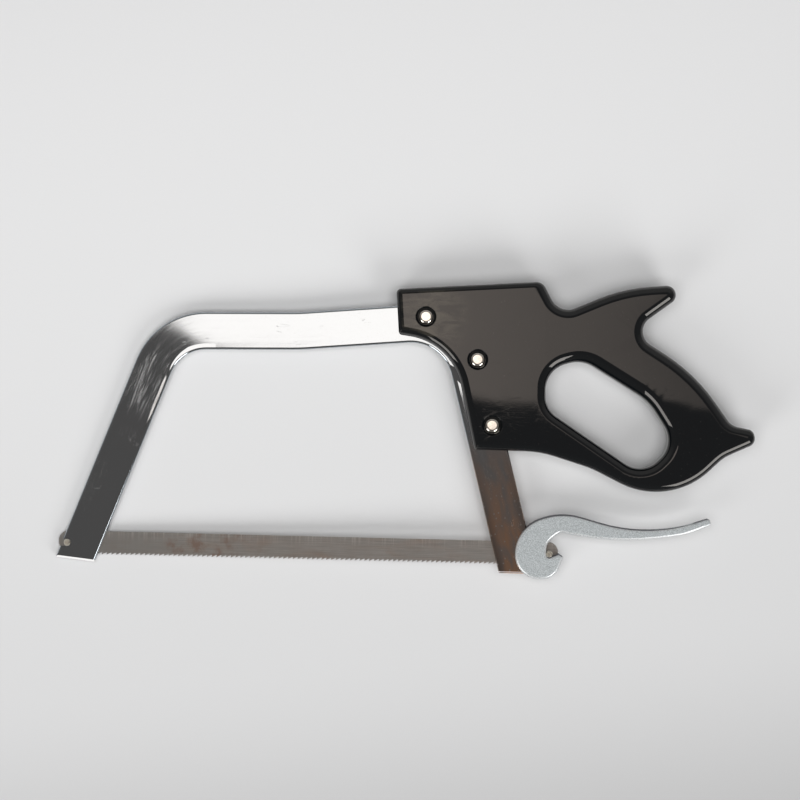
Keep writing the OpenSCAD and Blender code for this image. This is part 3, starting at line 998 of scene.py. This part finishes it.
lever = {
    "corners": [
        (-22.7, -16.7, 16), (3.8, -16.7, 12), (9.4, -1.6, 1.2), (6.3, 0.4, 1), (-2, -3, 1.9),
        (-2, 7.6, 9), (6.7, 14.8, 5), (45.4, 8.05, 180), (89.4, 14.7, 60), (107.3, 21.9, 1.6),
        (105.6, 26.3, 2), (65.6, 12.9, 108), (7.7, 28.3, 42), (-22.7, 17.6, 25.4),
    ],
    "edgeRound": 1.8,
    "tipThick": 6.0,
    "thinFrom": 14.0,
    "thinTo": 107.0,
    "cheekPlay": 0.25,
    "camPlay": 0.12,
    "hookPlay": 0.08,
    "bladePlay": 0.3,
    "swing": 95.0,
    "slackPerDegree": 0.038,
    "camSteps": 38,
    "camFar": 100,
    "bladeFar": 50,
    "ringEvery": 4,
}
lever["thick"] = size("tension_lever").z


def camTool():
    # the leg's edge as the turning lever meets it, which is the working curve of the cam
    start, swing = 180 + bar["rearLean"], lever["swing"]
    reach = bar["pinReach"] - lever["camPlay"]
    fall = lever["slackPerDegree"] * math.cos(math.radians(bar["rearLean"]))
    rate = math.degrees(fall)
    line = []
    for k in range(lever["camSteps"] + 1):
        a = swing * k / lever["camSteps"]
        out = heading(start + a)
        line.append((reach - fall * a) * out - rate * 1j * out)
    far = lever["camFar"]
    first, last = heading(start), heading(start + swing)
    line += [line[-1] + 1j * last * far, line[-1] + (last + 1j * last) * far,
             2 * far * heading(start + swing / 2),
             line[0] + (first - 1j * first) * far, line[0] - 1j * first * far]
    deep = bar["thick"] / 2 + lever["cheekPlay"]
    return prism("legRoom", line, -deep, deep)


def bladeTools():
    # room for the blade through the head of the lever, at every angle of its swing
    half = blade["high"] / 2 + lever["bladePlay"]
    far, swing = lever["bladeFar"], lever["swing"]
    deep = bar["slotWide"] / 2
    strips = []
    for a in (0, swing / 2, swing):
        turn = heading(a)
        box = [complex(-far, -half), complex(0, -half), complex(0, half), complex(-far, half)]
        strips.append(prism("bladeRoom", [p * turn for p in box], -deep, deep))
    fan = [0] + [far * heading(180 + swing * k / 8) for k in range(9)]
    strips.append(prism("bladeFan", fan, -deep, deep))
    radius = abs(complex(blade["tail"], half)) + lever["bladePlay"]
    disc = [radius * heading(a) for a in range(0, 360, 8)]
    return strips + [prism("bladeEnd", disc, -deep, deep)]


def makeLever():
    half = lever["thick"] / 2
    section = bothFaces(half, roundedEdge(lever["edgeRound"], 5))
    made = loftPlate("camLever", [(lever["corners"], 1)], lambda share: section)
    # the tail thins towards its tip, so it is first cut into short lengths
    bm = bmesh.new()
    bm.from_mesh(made.data)
    start, end = lever["thinFrom"], lever["thinTo"]
    for x in range(math.ceil(start), int(end), lever["ringEvery"]):
        bmesh.ops.bisect_plane(bm, geom=bm.verts[:] + bm.edges[:] + bm.faces[:],
                               plane_co=put(complex(x, 0), 0), plane_no=(1, 0, 0))
    for vertex in bm.verts:
        along = (vertex.co.x - rearPin.x) / mm
        share = min(1.0, max(0.0, (along - start) / (end - start)))
        thick = lever["thick"] + (lever["tipThick"] - lever["thick"]) * share
        vertex.co.z = rearPin.z + (vertex.co.z - rearPin.z) * thick / lever["thick"]
    bm.to_mesh(made.data)
    bm.free()
    hookRadius = pinDiameter / 2 + lever["hookPlay"]
    hook = prism("hook", [hookRadius * heading(a) for a in range(0, 360, 6)], -half - 1, half + 1)
    cutAway(made, [camTool()] + bladeTools() + [hook])
    smoothOver(made, 40)
    markRim(made)
    return made


def makeCastZinc():
    look = {
        "metal": 0.4,
        "colour": (0.62, 0.655, 0.665, 1),
        "darkColour": (0.31, 0.335, 0.345, 1),
        "cloudDark": 0.2,
        "roughness": (0.36, 0.52),
        "scratchRoughness": 0.08,
        "fineScale": 1600.0,
        "fineReach": (0.36, 0.64),
        "coarseScale": 420.0,
        "grainDepth": 0.00005,
        # the rounded edges are rubbed bright; everything that faces up, towards the grip, is
        # painted shade instead
        "rimColour": (0.68, 0.69, 0.69, 1),
        "rimBright": 0.8,
        "rimRoughness": 0.14,
        "upperShadeColour": (0.11, 0.11, 0.13, 1),
        "upperShadeFacing": (0.3, 0.7, 0.0, 0.85),
    }
    made, tree, shader = newMaterial("castZinc", Metallic=look["metal"])
    place = objectPlace(tree)
    fine = noise(tree, place, look["fineScale"], 3.0, 0.6)
    coarse = noise(tree, place, look["coarseScale"], 2.0)
    rim = markOf(tree, "rim", "Fac")
    cloud = useGroup(tree, smudges, Vector=place, Scale=70.0, Cover=0.45)["Mask"]
    scored = useGroup(tree, scratches, Vector=place, Length=70.0, Width=0.03, Amount=0.45)["Mask"]
    # painted shade on the faces that point up
    facing = axesOf(tree, addNode(tree, "ShaderNodeTexCoord").outputs["Normal"])["Y"]
    colour = layered(tree, look, "darkColour", [
        (remap(tree, fine, *look["fineReach"]), "colour"),
        (times(tree, cloud, look["cloudDark"]), "darkColour"),
        (times(tree, rim, look["rimBright"]), "rimColour"),
        (remap(tree, facing, *look["upperShadeFacing"]), "upperShadeColour")])
    plug(tree, colour, shader["Base Color"])
    rough = remap(tree, fine, *noiseReach, *look["roughness"])
    rough = calc(tree, "SUBTRACT", rough, times(tree, rim, look["rimRoughness"]))
    rough = calc(tree, "ADD", rough, times(tree, scored, look["scratchRoughness"]))
    plug(tree, rough, shader["Roughness"])
    grain = calc(tree, "ADD", fine, coarse)
    plug(tree, bumpOf(tree, grain, look["grainDepth"], 0.35), shader["Normal"])
    return made


dress(makeLever(), "lever", makeCastZinc(), "lever_metal", "tension_lever")
print("lever cast and cut")


# Floor, lights and camera

studio = {
    "tilt": 2.3,              # the saw rests on its front pin and on the front edge of the grip
    "touchX": -100.7,
    "floorSize": 9.0,
    "floorColour": (0.775, 0.775, 0.778, 1),
    "floorRoughness": 0.85,
    "floorGrain": (900.0, 2.0),
    "floorTone": (0.99, 1.0),
    # painted shade: the floor's colour darkens towards the bottom and the right, and more steeply
    # near the bottom
    "floorShade": {"from": -0.30, "to": 0.40, "low": 0.718, "high": 1.056, "lean": -0.15},
    "floorFootShade": {"from": -0.28, "to": -0.07, "low": 0.70, "high": 1.0, "lean": -0.12},
    "cameraHigh": 1.6,
    "cameraTurn": 1.4,
    "viewWide": 0.532,
    "viewMiddle": complex(-101.5, 99.8),
    "panel": {"power": 35.5, "size": (1.5, 1.15), "at": (0.0, -0.10, 2.2), "turn": -10.0},
    "sides": [
        {"power": 10.8, "size": (0.7, 0.9), "azimuth": -50.0, "high": 34.0, "far": 1.6},
        {"power": 8.6, "size": (0.7, 0.9), "azimuth": -130.0, "high": 34.0, "far": 1.6},
    ],
}


def makeFloor():
    tilt = math.radians(studio["tilt"])
    bpy.ops.mesh.primitive_plane_add(size=studio["floorSize"])
    floor = bpy.context.object
    floor.name = "floor"
    touch = put(complex(studio["touchX"], 0), 0)
    floor.location = (touch.x, touch.y, 0)
    floor.rotation_euler = (0, tilt, 0)
    made, tree, shader = newMaterial("paleBoard", Roughness=studio["floorRoughness"])
    place = objectPlace(tree)
    split = axesOf(tree, place)
    tone = remap(tree, noise(tree, place, *studio["floorGrain"]), *noiseReach, *studio["floorTone"])
    # painted shade for the lamps' falloff, darker towards the bottom and the right
    for shade in (studio["floorShade"], studio["floorFootShade"]):
        along = calc(tree, "ADD", split["Y"], times(tree, split["X"], shade["lean"]))
        falloff = addNode(tree, "ShaderNodeMapRange", {
            "Value": along, "From Min": shade["from"], "From Max": shade["to"],
            "To Min": shade["low"], "To Max": shade["high"],
        }, interpolation_type="SMOOTHSTEP")
        tone = times(tree, tone, falloff.outputs["Result"])
    grey = addNode(tree, "ShaderNodeCombineXYZ", {axis: tone for axis in "XYZ"}).outputs[0]
    colour = mixColour(tree, 1.0, studio["floorColour"], grey, "MULTIPLY")
    plug(tree, colour, shader["Base Color"])
    floor.data.materials.append(made)


def areaLight(name, spec, place, target):
    data = bpy.data.lights.new(name, "AREA")
    data.shape = "RECTANGLE"
    data.size, data.size_y = spec["size"]
    data.energy = spec["power"]
    light = bpy.data.objects.new(name, data)
    light.location = place
    light.visible_camera = False
    bpy.context.scene.collection.objects.link(light)
    light.rotation_euler = (target - light.location).to_track_quat("-Z", "Y").to_euler()
    return light


def makeLights():
    centre = put(studio["viewMiddle"], 0)
    panel = studio["panel"]
    place = centre + Vector(panel["at"])
    light = areaLight("topPanel", panel, place, place - Vector((0, 0, 1)))
    light.rotation_euler = (0, 0, math.radians(panel["turn"]))
    light.visible_glossy = False
    for k, spec in enumerate(studio["sides"]):
        around, up = math.radians(spec["azimuth"]), math.radians(spec["high"])
        away = Vector((math.cos(around) * math.cos(up), math.sin(around) * math.cos(up),
                       math.sin(up)))
        areaLight(f"sideBox{k}", spec, centre + away * spec["far"], centre)


def makeWorld():
    # what the shiny pieces mirror: a bright panel above and behind with straight edges, a dark
    # ceiling over the camera, grey walls; each edge is (direction, reach, softness) in tangents
    look = {
        "panel": (1.78, 1.63, 1.53),
        "panelFades": (0.0, 0.14, 1.22, 0.42),
        "panelEdges": [(91.4, -0.001, 0.0025), (81.0, 0.0058, 0.0025), (50.4, -0.0368, 0.0025),
                       (-80.0, -0.15, 0.07), (-175.0, -0.19, 0.06), (0.0, -0.27, 0.06)],
        "walls": (0.16, 0.155, 0.15, 1),
        "backWall": (0.42, 0.42, 0.42, 1),
        "backFrom": (0.1, 0.6),
        "overhead": (0.138, 0.127, 0.121, 1),
        "overheadFrom": (0.72, 0.9),
        "fill": (0.01, 0.01, 0.01, 1),
        "backdrop": (0.76, 0.76, 0.76, 1),
    }
    world = bpy.data.worlds.new("studio")
    bpy.context.scene.world = world
    world.use_nodes = True
    tree = world.node_tree
    split = axesOf(tree, addNode(tree, "ShaderNodeTexCoord").outputs["Generated"])
    up = calc(tree, "MAXIMUM", split["Z"], 0.01)
    across, along = calc(tree, "DIVIDE", split["X"], up), calc(tree, "DIVIDE", split["Y"], up)
    colour = layered(tree, look, "walls", [
        (remap(tree, split["Y"], *look["backFrom"]), "backWall"),
        (remap(tree, split["Z"], *look["overheadFrom"]), "overhead")])
    inside = None
    for degrees, reach, soft in look["panelEdges"]:
        a = math.radians(degrees)
        far = calc(tree, "ADD", times(tree, across, math.cos(a)), times(tree, along, math.sin(a)))
        one = remap(tree, far, reach - soft / 2, reach + soft / 2)
        inside = one if inside is None else times(tree, inside, one)
    bright = remap(tree, across, *look["panelFades"])
    lit = addNode(tree, "ShaderNodeVectorMath", {0: look["panel"], "Scale": bright},
                  operation="SCALE")
    colour = mixColour(tree, inside, colour, lit.outputs[0])
    path = addNode(tree, "ShaderNodeLightPath").outputs
    for ray, name in (("Is Diffuse Ray", "fill"), ("Is Camera Ray", "backdrop")):
        colour = mixColour(tree, path[ray], colour, look[name])
    plug(tree, colour, tree.nodes["Background"].inputs["Color"])


def makeCamera():
    data = bpy.data.cameras.new("camera")
    data.sensor_width = 36.0
    data.lens = data.sensor_width * studio["cameraHigh"] / studio["viewWide"]
    camera = bpy.data.objects.new("camera", data)
    camera.location = put(studio["viewMiddle"], 0) + Vector((0, 0, studio["cameraHigh"]))
    camera.rotation_euler = (0, 0, math.radians(studio["cameraTurn"]))
    bpy.context.scene.collection.objects.link(camera)
    bpy.context.scene.camera = camera


makeFloor()
makeLights()
makeWorld()
makeCamera()
bpy.context.scene.view_settings.view_transform = "Standard"
print("studio lit")
